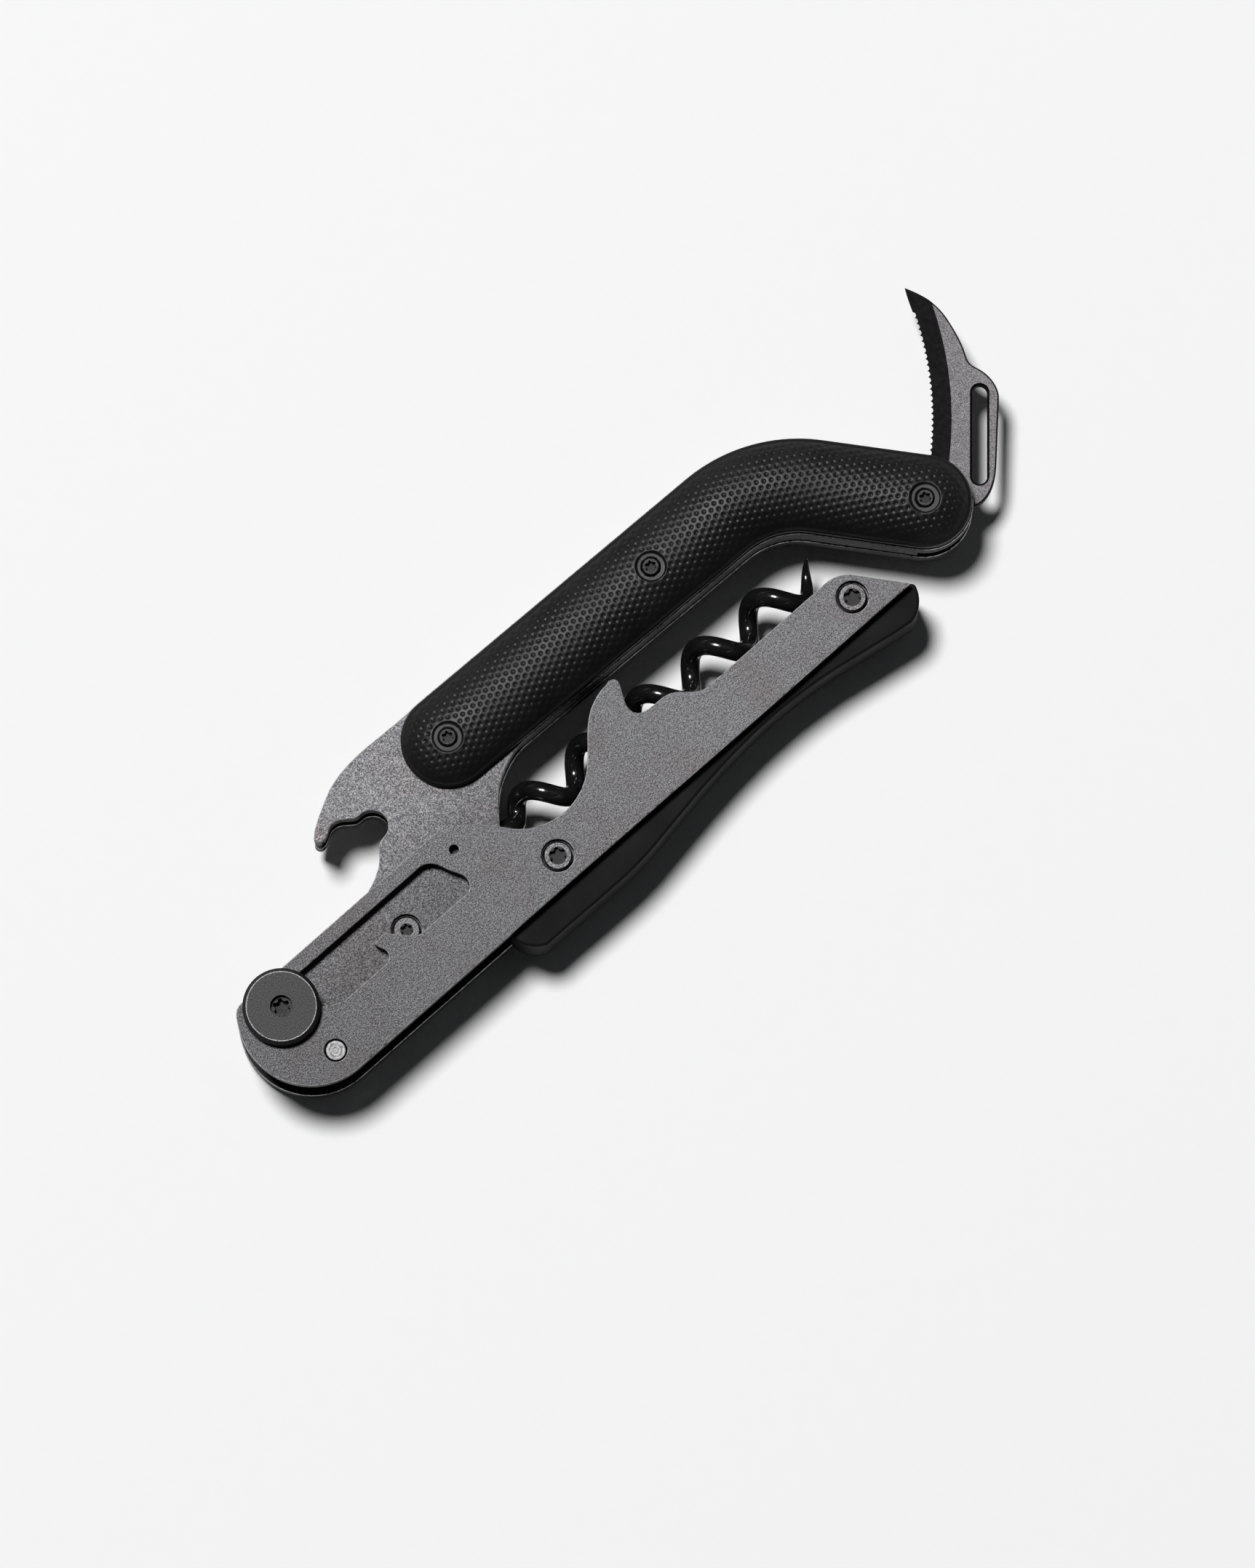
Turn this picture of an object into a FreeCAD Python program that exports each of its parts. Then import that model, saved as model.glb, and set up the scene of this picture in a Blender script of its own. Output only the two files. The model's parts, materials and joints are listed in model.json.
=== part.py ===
"""Waiters corkscrew: plated handle with a bottle opener beak, hinged lever, worm and foil blade.

Millimetres, +Z up.  The tool lies flat: +X runs along the lever, +Y from the lever to the handle.
Shapes are drawn with the lever pivot at (0, 0) and the middle of the stack at z = 0, then moved so
that the origin is the bottom centre of the whole tool's box.
"""
import FreeCAD
import Part
import math
import os

V = FreeCAD.Vector

# Stack, measured up from the middle of the tool
GAP = 1.5                # half the space between the two chassis plates
CHASSIS_FACE = 4.0       # outer face of a chassis plate
LEVER_IN = 4.1           # inner face of a lever plate
LEVER_OUT = 6.1
CAP_IN = 6.2
TOP = 8.0                # crest of a grip and face of a pivot cap

# Handle: a straight run, a bend and a short straight end
HANDLE_START = V(42.3, 13.1, 0)
HANDLE_TILT = -1.2       # degrees, direction of the first run
BEND_TURN = -48.5        # degrees
BEND_R = 17.5
BEND_AT = V(91.55, 12.02, 0)
END_RUN = 15.3           # bend to the blade pivot
PLATE_HALF = 6.8         # half width of the chassis plates along the handle
GRIP_HALF = 6.6
CORE_HALF = 6.6
CORE_STRIP = 1.6         # width of the core beside the blade's slot
CORE_SOLID_END = 86.0    # the core fills the whole width up to here
GRIP_RIM = 0.9           # grip thickness at its edge
SCREW_MID_X = 79.4
BARREL_R = 1.6           # sleeves under the first two grip screws
POCKET_R = 2.2           # flat seat round a grip screw
POCKET_Z = 7.35
HEAD_SEAT_Z = 6.2

# Lever
LEVER_BACK = -13.35      # Y of the straight back edge
LEVER_FRONT = 4.25       # Y of the straight front edge
WINDOW_TOP = 2.1
WINDOW_BOTTOM = -5.0
FASTENER_Y = -9.4
LEVER_SCREW_X = (42.8, 97.65)
DOWEL_X = 1.7
PIVOT_R = 2.5
CAP_R = 5.4
RUN_FIT = 0.05           # radial clearance of everything that turns
LOOSE_FIT = 0.04         # radial clearance of screws and sleeves in their holes

# Worm
WORM_PIVOT = V(32.6, 0.8, 0)
WORM_TILT = -1.5         # degrees
WORM_OFFSET = -1.56      # the coil's axis runs this far beside its pivot
WORM_PITCH = 10.6
WORM_MEAN_R = 2.37
WIRE_R = 1.36
WORM_CREST_X = 33.8      # from the pivot to a crest on the handle side
WORM_LENGTH = 64.9
WORM_EYE_R = 2.7
WORM_EYE_HALF = 1.35
WORM_SHANK = 7.5         # straight before the coil opens out
WORM_PIN_R = 1.2
POINT_R = 0.25
WIRE_START = 1.9         # the wire starts inside the eye
POINT_OVERLAP = 1.0      # the tapered point starts this far inside the coil
POINT_STEP = 0.04        # and this much thinner
WORM_TAPER = 6.5         # length over which the wire runs down to its point

# Blade
BLADE_HALF = 1.0
BLADE_EDGE_HALF = 0.12
BLADE_PIVOT_R = 2.0
BLADE_ROOT_R = 4.5
EDGE_START = V(119.9, -0.8, 0)
EDGE_END = V(131.9, 16.0, 0)
EDGE_SAG = 1.15
SCALLOPS = 24
SCALLOP_DEPTH = 0.32
BEVEL_WIDTH = 2.9
SLOT_HALF = 1.07         # half width of the slot in the finger loop
RIM = 0.3                # bevel round that slot

# Bottom centre of the whole tool, seen from the lever pivot
ORIGIN = V(63.655, 1.152, -TOP)


def at(x, y):
    return V(x, y, 0)


def heading(degrees):
    return V(math.cos(math.radians(degrees)), math.sin(math.radians(degrees)), 0)


def left_of(degrees):
    return heading(degrees + 90)


END_HEADING = HANDLE_TILT + BEND_TURN
BEND_CENTRE = BEND_AT - left_of(HANDLE_TILT) * BEND_R
BEND_END = BEND_CENTRE + left_of(END_HEADING) * BEND_R
BLADE_PIVOT = BEND_END + heading(END_HEADING) * END_RUN
SCREW_MID = HANDLE_START + heading(HANDLE_TILT) * (SCREW_MID_X - HANDLE_START.x)
GRIP_SCREWS = (HANDLE_START, SCREW_MID, BLADE_PIVOT)


def line(a, b):
    return Part.makeLine(a, b)


def arc(a, mid, b):
    return Part.Arc(a, mid, b).toShape()


def curve(*points):
    spline = Part.BSplineCurve()
    spline.interpolate(list(points))
    return spline.toShape()


def slab(edges, low, high):
    face = Part.Face(Part.Wire(Part.__sortEdges__(edges)))
    face.translate(V(0, 0, low))
    return face.extrude(V(0, 0, high - low))


def rod(centre, radius, low, high):
    return Part.makeCylinder(radius, high - low, V(centre.x, centre.y, low))


def ring(centre, outer, inner, low, high):
    return rod(centre, outer, low, high).cut(rod(centre, inner, low - 1, high + 1))


def mirrored(shape):
    return shape.mirror(V(0, 0, 0), V(0, 0, 1))


def lobed_socket(centre, radius, low, high):
    """Six-lobed driver recess."""
    recess = rod(centre, radius * 0.74, low, high)
    for k in range(6):
        lobe = centre + heading(60 * k) * radius * 0.76
        recess = recess.fuse(rod(lobe, radius * 0.24, low, high))
    return recess


def cap_screw(centre, head_r, head_h, shank_r, top, low, socket_r):
    """Low cylindrical head with a lobed recess, pointing down."""
    head = rod(centre, head_r, top - head_h, top)
    rim = [edge for edge in head.Edges if abs(edge.BoundBox.ZMin - top) < 1e-6]
    head = head.makeChamfer(0.15, rim)
    screw = head.fuse(rod(centre, shank_r, low, top - head_h))
    return screw.cut(lobed_socket(centre, socket_r, top - head_h * 0.7, top + 1))


# ---- handle ---------------------------------------------------------------------------------

def side_edges(offset):
    """One side of the handle at this distance left of its centre line, from start to end."""
    first, last = left_of(HANDLE_TILT) * offset, left_of(END_HEADING) * offset
    halfway = left_of(HANDLE_TILT + BEND_TURN / 2) * (BEND_R + offset)
    return [line(HANDLE_START + first, BEND_AT + first),
            arc(BEND_AT + first, BEND_CENTRE + halfway, BEND_END + last),
            line(BEND_END + last, BLADE_PIVOT + last)]


def round_end(centre, radius, degrees):
    side = left_of(degrees) * radius
    return arc(centre + side, centre + heading(degrees) * radius, centre - side)


def strip_slab(left, right, low, high):
    ends = [line(HANDLE_START + left_of(HANDLE_TILT) * left, HANDLE_START + left_of(HANDLE_TILT) * right),
            line(BLADE_PIVOT + left_of(END_HEADING) * left, BLADE_PIVOT + left_of(END_HEADING) * right)]
    return slab(side_edges(left) + side_edges(right) + ends, low, high)


def handle_slab(half, low, high):
    ends = [round_end(HANDLE_START, half, HANDLE_TILT + 180), round_end(BLADE_PIVOT, half, END_HEADING)]
    return slab(side_edges(half) + side_edges(-half) + ends, low, high)


def chassis_outline():
    upper = side_edges(PLATE_HALF)
    lower = side_edges(-PLATE_HALF)
    upper_start = HANDLE_START + left_of(HANDLE_TILT) * PLATE_HALF
    leave = HANDLE_START - left_of(HANDLE_TILT) * PLATE_HALF + heading(HANDLE_TILT) * 9
    lower[0] = line(leave, BEND_AT - left_of(HANDLE_TILT) * PLATE_HALF)
    neck = at(39.8, -0.6)
    neck_angle = math.degrees(math.atan2(neck.y - WORM_PIVOT.y, neck.x - WORM_PIVOT.x))
    reach = (neck - WORM_PIVOT).Length
    under_worm = WORM_PIVOT + heading(-90) * reach
    knee = at(8, under_worm.y)
    pivot_r = 4.1
    touch = math.degrees(math.atan2(knee.y, knee.x)) - math.degrees(math.acos(pivot_r / knee.Length))
    lip = at(26.6, 8.9)
    roof = at(26.2, 13.35)
    tip = at(19.35, 15.3)
    hook = at(19.9, 14.05)
    arm_end = at(18.3, pivot_r)
    return upper + lower + [
        round_end(BLADE_PIVOT, PLATE_HALF, END_HEADING),
        curve(leave, at(48, 5.75), at(46, 5.0), at(44, 3.9), at(42, 2.1), neck),
        arc(neck, WORM_PIVOT + heading((neck_angle - 90) / 2) * reach, under_worm),
        line(under_worm, knee),
        line(knee, heading(touch) * pivot_r),
        arc(heading(touch) * pivot_r, heading(180) * pivot_r, at(0, pivot_r)),
        line(at(0, pivot_r), arm_end),
        curve(arm_end, at(20.2, 4.65), at(22.3, 5.55), at(24, 6.8), at(25.5, 8.5), lip),
        arc(lip, at(28.75, 11.1), roof),
        curve(roof, at(25, 13.8), at(23.6, 14.8), at(22.3, 14.95), at(21, 14.3), hook),
        arc(hook, at(19.25, 14.5), tip),
        curve(tip, at(20.3, 16.1), at(22.5, 17.4), at(25, 18.7), at(27.5, 19.5), at(31, 19.95), upper_start),
    ]


CHASSIS_SCREW = at(20.4, -3.0)


def chassis_plate():
    plate = slab(chassis_outline(), GAP, CHASSIS_FACE)
    holes = [rod(at(0, 0), PIVOT_R + LOOSE_FIT, 0, 9),
             rod(WORM_PIVOT, WORM_PIN_R + LOOSE_FIT, 0, 9),
             rod(CHASSIS_SCREW, 1.0 + LOOSE_FIT, 0, 9),
             rod(CHASSIS_SCREW, 2.2, CHASSIS_FACE - 1.4, 9),
             rod(BLADE_PIVOT, BLADE_PIVOT_R + LOOSE_FIT, 0, 9)]
    holes += [rod(place, BARREL_R + LOOSE_FIT, 0, 9) for place in GRIP_SCREWS[:2]]
    for hole in holes:
        plate = plate.cut(hole)
    return plate


def handle_core():
    """Bar that fills the front of the handle and narrows to a strip beside the blade's slot."""
    length = CORE_SOLID_END - HANDLE_START.x
    solid_part = handle_slab(CORE_HALF, -GAP, GAP).common(
        Part.makeBox(length, 40, 2 * GAP, V(HANDLE_START.x - 4, -10, -GAP)))
    core = solid_part.fuse(strip_slab(-CORE_HALF, -CORE_HALF + CORE_STRIP, -GAP, GAP)).removeSplitter()
    for place in GRIP_SCREWS[:2]:
        core = core.cut(rod(place, BARREL_R + LOOSE_FIT, -9, 9))
    return core


def neck_spacer():
    low, high = WINDOW_BOTTOM - 0.6, 3.6
    left, right, corner = 6.0, 27.0, 1.5
    block = Part.makeBox(right - left, high - low, 2 * GAP, V(left, low, -GAP))
    upright = [e for e in block.Edges if abs(e.BoundBox.ZLength - 2 * GAP) < 1e-6]
    return block.makeFillet(corner, upright).cut(rod(CHASSIS_SCREW, 1.0 + LOOSE_FIT, -9, 9))


def grip_section(direction, centre):
    """Half section of the grip across the handle, from its centre line out to the given side."""
    side = left_of(direction) * GRIP_HALF
    half, sag = GRIP_HALF, TOP - CHASSIS_FACE - GRIP_RIM
    radius = (half ** 2 + sag ** 2) / (2 * sag)
    mid_height = TOP - radius + math.sqrt(radius ** 2 - (half / 2) ** 2)
    foot = centre + V(0, 0, CHASSIS_FACE)
    crest = centre + V(0, 0, TOP)
    rim = V(0, 0, CHASSIS_FACE + GRIP_RIM) + centre + side
    edges = [line(foot, crest),
             arc(crest, centre + side * 0.5 + V(0, 0, mid_height), rim),
             line(rim, foot + side),
             line(foot + side, foot)]
    return Part.Face(Part.Wire(edges))


def grip():
    """Domed scale: the same section pushed along the runs and turned round the bend and the ends."""
    up = V(0, 0, 1)
    pieces = []
    for turned in (0, 180):
        first = grip_section(HANDLE_TILT + turned, HANDLE_START)
        pieces.append(first.extrude(BEND_AT - HANDLE_START))
        pieces.append(grip_section(HANDLE_TILT + turned, BEND_AT).revolve(BEND_CENTRE, up, BEND_TURN))
        last = grip_section(END_HEADING + turned, BEND_END)
        pieces.append(last.extrude(BLADE_PIVOT - BEND_END))
    pieces.append(grip_section(HANDLE_TILT, HANDLE_START).revolve(HANDLE_START, up, 180))
    pieces.append(grip_section(END_HEADING + 180, BLADE_PIVOT).revolve(BLADE_PIVOT, up, 180))
    body = pieces[0].multiFuse(pieces[1:]).removeSplitter()
    for place in GRIP_SCREWS:
        body = body.cut(rod(place, POCKET_R, POCKET_Z, 9))
        body = body.cut(rod(place, 1.27, HEAD_SEAT_Z, 9)).cut(rod(place, 1.0, 3, 9))
        body = body.cut(rod(place, 2.0 + LOOSE_FIT, 3, 5.2))
    return body


def grip_screw(place):
    return cap_screw(place, 1.22, 1.35, 0.9, 7.55, 0.1, 0.85)


def sleeve(place, outer, inner, reach):
    return ring(place, outer, inner, -reach, reach)


# ---- lever ----------------------------------------------------------------------------------

def lever_outline():
    corner = at(-3.6, LEVER_FRONT)
    left = at(-7.55, -3.2)
    belly = at(2.6, LEVER_BACK)
    shoulder = at(30.5, LEVER_FRONT)
    hook_top = at(64, 4.15)
    hook_side = at(65.2, 2.8)
    step = at(74.5, -5.45)
    nose_top = at(96.5, -5.45)
    nose_side = at(100, -7.35)
    point = at(105.0, LEVER_BACK)
    return [
        line(corner, shoulder),
        curve(shoulder, at(33, 3.95), at(35, 3.1), at(37, 1.7), at(39.5, -1.0), at(41.2, -2.95),
              at(43, -4.25), at(45.2, -5.1), at(47.7, -5.42), at(50.5, -4.95), at(53, -3.7),
              at(55.5, -1.35), at(57.5, 0.95), at(60, 3.0), at(62, 3.85), hook_top),
        arc(hook_top, at(65.25, 3.85), hook_side),
        curve(hook_side, at(64.3, 0.9), at(63.95, -0.5), at(64.35, -1.65), at(65.4, -2.25), at(68, -2.4),
              at(70, -2.85), at(72, -4.5), at(73.1, -5.2), step),
        line(step, nose_top),
        arc(nose_top, at(98.4, -6.0), nose_side),
        line(nose_side, point),
        line(point, belly),
        arc(belly, at(-4.58, -10.38), left),
        curve(left, at(-7.2, -0.3), at(-6.1, 2.3), at(-5.0, 3.8), corner),
    ]


def window_outline():
    """Cap-lifter window: a long opening whose lower edge carries a hooked tooth."""
    left_r = 4.7
    top_left = at(math.sqrt(left_r ** 2 - WINDOW_TOP ** 2), WINDOW_TOP)
    low_left = heading(-40) * left_r
    knee = at(7.2, WINDOW_BOTTOM)
    tooth_base = at(14.7, WINDOW_BOTTOM)
    tooth_tip = at(15.6, -1.75)
    tooth_top = at(17.2, -1.5)
    ramp = at(21.4, WINDOW_BOTTOM)
    floor_end = at(29.4, WINDOW_BOTTOM)
    roof_end = at(27.6, WINDOW_TOP)
    return [
        arc(top_left, at(left_r, 0), low_left),
        curve(low_left, at(5.6, -4.3), knee),
        line(knee, tooth_base),
        curve(tooth_base, at(15.75, -4.6), at(16.15, -3.6), at(15.8, -2.7), tooth_tip),
        line(tooth_tip, tooth_top),
        curve(tooth_top, at(18.1, -2.1), at(19.4, -3.4), at(20.6, -4.65), ramp),
        line(ramp, floor_end),
        curve(floor_end, at(30.8, -4.5), at(31.2, -3.2), at(30.3, -1.2), at(29.2, 1.1), roof_end),
        line(roof_end, top_left),
    ]


def lever_plate():
    plate = slab(lever_outline(), LEVER_IN, LEVER_OUT)
    plate = plate.cut(slab(window_outline(), LEVER_IN - 1, LEVER_OUT + 1))
    holes = [rod(at(0, 0), PIVOT_R + RUN_FIT, 3, 9),
             rod(at(DOWEL_X, FASTENER_Y), 1.6, 3, 9),
             rod(WORM_PIVOT, 0.67, 3, 9)]
    for x in LEVER_SCREW_X:
        holes.append(rod(at(x, FASTENER_Y), 1.2 + LOOSE_FIT, 3, 9))
        holes.append(rod(at(x, FASTENER_Y), 2.3, LEVER_OUT - 1.4, 9))
    for hole in holes:
        plate = plate.cut(hole)
    return plate


def lever_spine():
    inner_left = at(37.5, -6.95)
    inner_right = at(98.6, -6.95)
    heel = at(30.6, -13.2)
    heel_low = at(33.6, -17.6)
    toe_low = at(101.8, -17.3)
    toe = at(105.7, -13.5)
    spine = slab([
        line(inner_left, inner_right),
        line(inner_right, toe),
        arc(toe, at(104.6, -15.7), toe_low),
        curve(toe_low, at(98, -16.8), at(92, -15.7), at(86, -14.85), at(78, -14.45), at(70, -14.85),
              at(64, -15.55), at(58, -16.5), at(52, -17.4), at(42, -17.65), heel_low),
        arc(heel_low, at(31.5, -15.9), heel),
        line(heel, inner_left),
    ], -LEVER_IN, LEVER_IN)
    for x in LEVER_SCREW_X:
        spine = spine.cut(rod(at(x, FASTENER_Y), 2.0 + LOOSE_FIT, -9, 9))
    return spine


def lever_screw(x):
    return cap_screw(at(x, FASTENER_Y), 1.96, 1.3, 1.15, LEVER_OUT - 0.1, 0.1, 1.25)


def pivot_cap():
    cap = ring(at(0, 0), CAP_R, 1.56, CAP_IN, TOP)
    rim = [e for e in cap.Edges if abs(e.BoundBox.ZMin - TOP) < 1e-6 and e.BoundBox.XLength > CAP_R]
    return cap.makeChamfer(0.5, rim)


def pivot_screw():
    screw = rod(at(0, 0), 1.5, 0.1, TOP - 0.9)
    return screw.cut(lobed_socket(at(0, 0), 1.25, TOP - 2.2, TOP))


# ---- worm -----------------------------------------------------------------------------------

def ease(t):
    t = min(max(t, 0.0), 1.0)
    return t * t * (3 - 2 * t)


def worm_centre(x):
    """Centre of the wire, x along the worm from its pivot; the coil opens out after the shank."""
    radius = WORM_MEAN_R * ease((x - WORM_SHANK) / 4.5)
    turn = 2 * math.pi * (x - WORM_CREST_X) / WORM_PITCH
    beside = WORM_OFFSET * ease(x / WORM_SHANK)
    return V(x, beside + radius * math.cos(turn), radius * math.sin(turn))


def wire_ring(x, radius):
    step = 0.01
    centre = worm_centre(x)
    ahead = (worm_centre(x + step) - worm_centre(x - step)).normalize()
    across = V(0, 0, 1).cross(ahead).normalize()
    over = ahead.cross(across)
    circle = Part.Wire(Part.makeCircle(radius))
    frame = FreeCAD.Matrix(across.x, over.x, ahead.x, centre.x,
                           across.y, over.y, ahead.y, centre.y,
                           across.z, over.z, ahead.z, centre.z,
                           0, 0, 0, 1)
    circle.Placement = FreeCAD.Placement(frame)
    return circle


def spread(first, last, steps):
    return [first + (last - first) * k / steps for k in range(steps + 1)]


def sweep(first, last, steps, *radii):
    """Wire of the worm between two places, with one radius, or one at each end."""
    spine = Part.BSplineCurve()
    spine.interpolate([worm_centre(x) for x in spread(first, last, steps)])
    shell = Part.BRepOffsetAPI.MakePipeShell(Part.Wire(spine.toShape()))
    for x, radius in zip((first, last), radii):
        shell.add(wire_ring(x, radius), False, False)
    shell.build()
    shell.makeSolid()
    return shell.shape()


def worm():
    taper_start = WORM_LENGTH - WORM_TAPER
    coil = sweep(WIRE_START, taper_start, 100, WIRE_R)
    point = sweep(taper_start - POINT_OVERLAP, WORM_LENGTH, 14, WIRE_R - POINT_STEP, POINT_R)
    eye = rod(at(0, 0), WORM_EYE_R, -WORM_EYE_HALF, WORM_EYE_HALF)
    body = eye.multiFuse([coil, point]).cut(rod(at(0, 0), WORM_PIN_R + RUN_FIT, -9, 9))
    body.rotate(V(0, 0, 0), V(0, 0, 1), WORM_TILT)
    body.translate(WORM_PIVOT)
    return body


# ---- blade ----------------------------------------------------------------------------------

def edge_circle():
    chord = EDGE_END - EDGE_START
    radius = (chord.Length ** 2 / 4 + EDGE_SAG ** 2) / (2 * EDGE_SAG)
    outward = V(chord.y, -chord.x, 0).normalize()
    centre = (EDGE_START + EDGE_END) * 0.5 - outward * (radius - EDGE_SAG)
    return centre, radius


def scallops():
    """Row of small hollow arcs along the cutting edge, from root to tip."""
    centre, radius = edge_circle()
    first = math.degrees(math.atan2(EDGE_START.y - centre.y, EDGE_START.x - centre.x))
    last = math.degrees(math.atan2(EDGE_END.y - centre.y, EDGE_END.x - centre.x))
    step = (last - first) / SCALLOPS
    edges = []
    for k in range(SCALLOPS):
        a, b = first + step * k, first + step * (k + 1)
        hollow = centre + heading((a + b) / 2) * (radius + SCALLOP_DEPTH)
        edges.append(arc(centre + heading(a) * radius, hollow, centre + heading(b) * radius))
    return edges


def bevel_cutter():
    """Cone-shaped cut that thins the blade from its grind line down to the edge."""
    centre, radius = edge_circle()
    inner, outer = radius - 6, radius + BEVEL_WIDTH
    corners = [V(inner, 0, BLADE_EDGE_HALF), V(radius, 0, BLADE_EDGE_HALF), V(outer, 0, BLADE_HALF),
               V(outer, 0, 3), V(inner, 0, 3), V(inner, 0, BLADE_EDGE_HALF)]
    cutter = Part.Face(Part.makePolygon(corners)).revolve(V(0, 0, 0), V(0, 0, 1), 360)
    cutter.translate(centre)
    return cutter


def finger_slot():
    """Slot through the finger loop, its rims bevelled on both faces."""
    low, high = at(123.1, -7.8), at(131.1, 1.1)
    along = math.degrees(math.atan2(high.y - low.y, high.x - low.x))

    def outline(half, height):
        side = left_of(along) * half
        wire = Part.Wire(Part.__sortEdges__([
            line(low + side, high + side), round_end(high, half, along),
            line(high - side, low - side), round_end(low, half, along + 180)]))
        wire.translate(V(0, 0, height))
        return wire

    through = Part.Face(outline(SLOT_HALF, -3)).extrude(V(0, 0, 6))
    rim = Part.makeLoft([outline(SLOT_HALF - RIM, BLADE_HALF - 2 * RIM),
                         outline(SLOT_HALF + 2 * RIM, BLADE_HALF + RIM)], True, True)
    return through.fuse(rim).fuse(mirrored(rim))


def blade():
    tip = at(133.35, 19.3)
    loop_top = at(132.5, -1.4)
    loop_low = at(125.9, -8.2)
    tang = at(120.3, -10.7)
    root = at(116.6, -9.5)
    cheek = at(116.0, -2.2)
    outline = scallops() + [
        curve(EDGE_END, at(132.45, 17.4), tip),
        curve(tip, at(134.2, 17.2), at(134.75, 15), at(134.85, 13), at(134.55, 10.8), at(133.4, 6.8),
              at(132.87, 5.1), at(133.3, 3.6), at(133.6, 1.8), at(133.3, -0.1), loop_top),
        line(loop_top, loop_low),
        curve(loop_low, at(124.6, -9.35), at(122.6, -10.45), tang),
        line(tang, root),
        line(root, cheek),
        line(cheek, EDGE_START),
    ]
    root_disc = rod(BLADE_PIVOT, BLADE_ROOT_R, -BLADE_HALF, BLADE_HALF)
    body = slab(outline, -BLADE_HALF, BLADE_HALF).fuse(root_disc)
    body = body.cut(finger_slot()).cut(rod(BLADE_PIVOT, BLADE_PIVOT_R + RUN_FIT, -3, 3))
    cutter = bevel_cutter()
    return body.cut(cutter).cut(mirrored(cutter)).removeSplitter()


# ---- the whole tool -------------------------------------------------------------------------

def both(make):
    return make, mirrored(make)


def pieces():
    parts = {}
    pairs = {
        "chassis_plate": chassis_plate(),
        "grip": grip(),
        "lever_plate": lever_plate(),
        "pivot_cap": pivot_cap(),
        "pivot_screw": pivot_screw(),
        "chassis_screw": cap_screw(CHASSIS_SCREW, 1.84, 1.3, 0.95, CHASSIS_FACE - 0.1, 0.1, 0.9),
        "blade_washer": ring(BLADE_PIVOT, 3.6, BLADE_PIVOT_R + LOOSE_FIT, BLADE_HALF + 0.06, GAP - 0.04),
        "grip_screws": Part.makeCompound([grip_screw(place) for place in GRIP_SCREWS]),
        "lever_screws": Part.makeCompound([lever_screw(x) for x in LEVER_SCREW_X]),
    }
    for name, shape in pairs.items():
        parts[name + "_front"], parts[name + "_rear"] = both(shape)
    parts["handle_core"] = handle_core()
    parts["neck_spacer"] = neck_spacer()
    parts["grip_barrels"] = Part.makeCompound(
        [sleeve(place, BARREL_R, 0.95, 5.1) for place in GRIP_SCREWS[:2]])
    parts["blade_pivot"] = sleeve(BLADE_PIVOT, BLADE_PIVOT_R, 0.95, 5.1)
    parts["blade"] = blade()
    parts["lever_spine"] = lever_spine()
    parts["lever_barrels"] = Part.makeCompound(
        [sleeve(at(x, FASTENER_Y), 2.0, 1.2, LEVER_IN) for x in LEVER_SCREW_X])
    parts["lever_dowel"] = rod(at(DOWEL_X, FASTENER_Y), 1.44, -LEVER_OUT + 0.1, LEVER_OUT - 0.1)
    parts["pivot_barrel"] = sleeve(at(0, 0), PIVOT_R, 1.55, CAP_IN)
    parts["worm"] = worm()
    parts["worm_pin"] = rod(WORM_PIVOT, WORM_PIN_R, -CHASSIS_FACE, CHASSIS_FACE)
    return parts


def main():
    os.makedirs("parts", exist_ok=True)
    parts = pieces()
    box = FreeCAD.BoundBox()
    for name, shape in parts.items():
        box.add(shape.optimalBoundingBox())
        shape.translate(ORIGIN * -1)
        shape.exportStep("parts/" + name + ".step")
        print(name, len(shape.Solids), "solids", round(shape.Volume, 2), "mm3", shape.isValid())
    print("bottom centre", round(box.Center.x, 3), round(box.Center.y, 3), round(box.ZMin, 3))
    print("size", round(box.XLength, 3), round(box.YLength, 3), round(box.ZLength, 3))
    for name, place in (("lever", at(0, 0)), ("worm", WORM_PIVOT), ("blade", BLADE_PIVOT)):
        print(name, "pivot", [round(value, 3) for value in place - ORIGIN])


main()
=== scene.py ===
"""Waiters corkscrew: finishes, blade rims, dimpled grips and a smooth worm. Metres, +Z up."""
import json
import math

import bmesh
import bpy
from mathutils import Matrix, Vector


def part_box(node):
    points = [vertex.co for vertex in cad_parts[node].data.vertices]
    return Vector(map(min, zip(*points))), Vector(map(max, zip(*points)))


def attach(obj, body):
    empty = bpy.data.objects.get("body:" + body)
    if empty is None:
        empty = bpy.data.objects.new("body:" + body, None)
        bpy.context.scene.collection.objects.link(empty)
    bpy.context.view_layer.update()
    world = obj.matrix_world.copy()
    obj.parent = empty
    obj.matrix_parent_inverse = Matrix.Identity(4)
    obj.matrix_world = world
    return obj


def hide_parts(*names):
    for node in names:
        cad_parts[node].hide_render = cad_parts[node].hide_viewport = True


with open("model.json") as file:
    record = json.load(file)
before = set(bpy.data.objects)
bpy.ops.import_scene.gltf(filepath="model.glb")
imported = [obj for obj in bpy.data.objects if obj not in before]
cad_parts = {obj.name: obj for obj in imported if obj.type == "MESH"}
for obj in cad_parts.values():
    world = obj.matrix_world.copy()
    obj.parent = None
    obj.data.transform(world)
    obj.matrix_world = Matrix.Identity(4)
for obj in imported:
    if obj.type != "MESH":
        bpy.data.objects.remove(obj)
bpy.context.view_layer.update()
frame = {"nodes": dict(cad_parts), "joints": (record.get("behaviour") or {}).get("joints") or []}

MM = 0.001
NODES = frame["nodes"]
JOINTS = {joint["name"]: Vector(joint["pos_m"]) for joint in frame["joints"]}
LEVER_PIVOT = JOINTS["lever_hinge"]
WORM_PIVOT = JOINTS["worm_hinge"]
BLADE_PIVOT = JOINTS["blade_hinge"]
MIDDLE = LEVER_PIVOT.z


# ---- materials ------------------------------------------------------------------------------

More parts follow.
